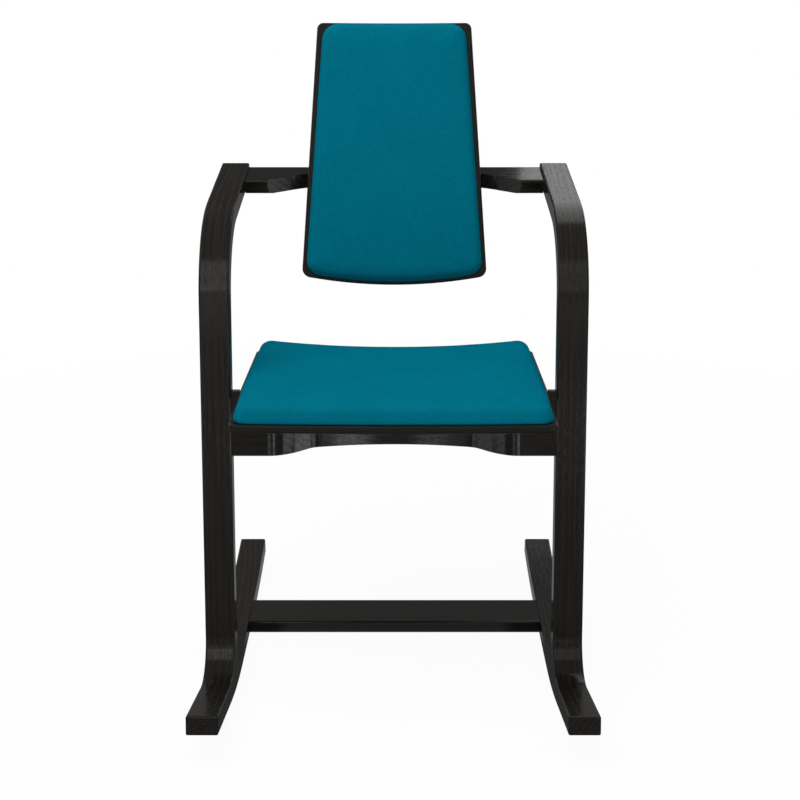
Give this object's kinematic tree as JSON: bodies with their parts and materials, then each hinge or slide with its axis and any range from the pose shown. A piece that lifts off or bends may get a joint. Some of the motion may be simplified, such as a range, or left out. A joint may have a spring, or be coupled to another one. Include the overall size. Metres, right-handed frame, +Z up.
{
  "type": "rocking chair",
  "caption": "Rocking chair with bent-wood side frames on curved runners, a moulded seat and a narrow tilting backrest on a crossbar between the armrests, both with thin pads.",
  "frame": {"origin": "on the floor, halfway between the runners' toes and tails and halfway between the side frames", "axes": "+X to the sitter's left, +Y to the rear, +Z up; the sitter faces -Y"},
  "size_m": [0.561, 0.6651, 0.9532],
  "materials": {
    "black_ash": "black-stained ash, satin lacquer with open grain",
    "black_plywood": "moulded plywood, black satin lacquer",
    "pad_board": "raw thin plywood, hidden in the pads",
    "teal_fabric": "smooth woven teal cover over foam",
    "black_steel": "black powder coat",
    "steel": "zinc-plated fasteners",
    "rubber": "moulded black rubber",
    "bush_plastic": "black bearing plastic"
  },
  "bodies": {
    "frame": {"arm_leg_left": "black_ash", "arm_leg_right": "black_ash", "runner_left": "black_ash", "runner_right": "black_ash", "frame_bolts": "steel", "frame_barrel_nuts": "steel", "stretcher": "black_ash", "back_bar": "black_ash", "seat_bar": "black_ash", "seat_cleat": "black_ash", "seat_shell": "black_plywood", "seat_bolts": "steel", "seat_tee_nuts": "steel", "seat_pad_board": "pad_board", "seat_pad_screws": "steel", "seat_cushion": "teal_fabric", "hinge_base": "black_steel", "hinge_base_screws": "steel", "hinge_pin": "steel", "hinge_clip": "steel", "hinge_buffers": "rubber"},
    "backrest": {"hinge_leaf": "black_steel", "hinge_leaf_screws": "steel", "hinge_bushes": "bush_plastic", "back_shell": "black_plywood", "back_tee_nuts": "steel", "back_pad_board": "pad_board", "back_pad_screws": "steel", "back_cushion": "teal_fabric"}
  },
  "joints": [
    {"name": "backrest_tilt", "type": "hinge", "parent": "frame", "child": "backrest", "pos_m": [0, 0.24708, 0.7108], "axis": [1, 0, 0], "range_deg": [-8, 8], "stiffness_Nm_per_rad": 100}
  ]
}
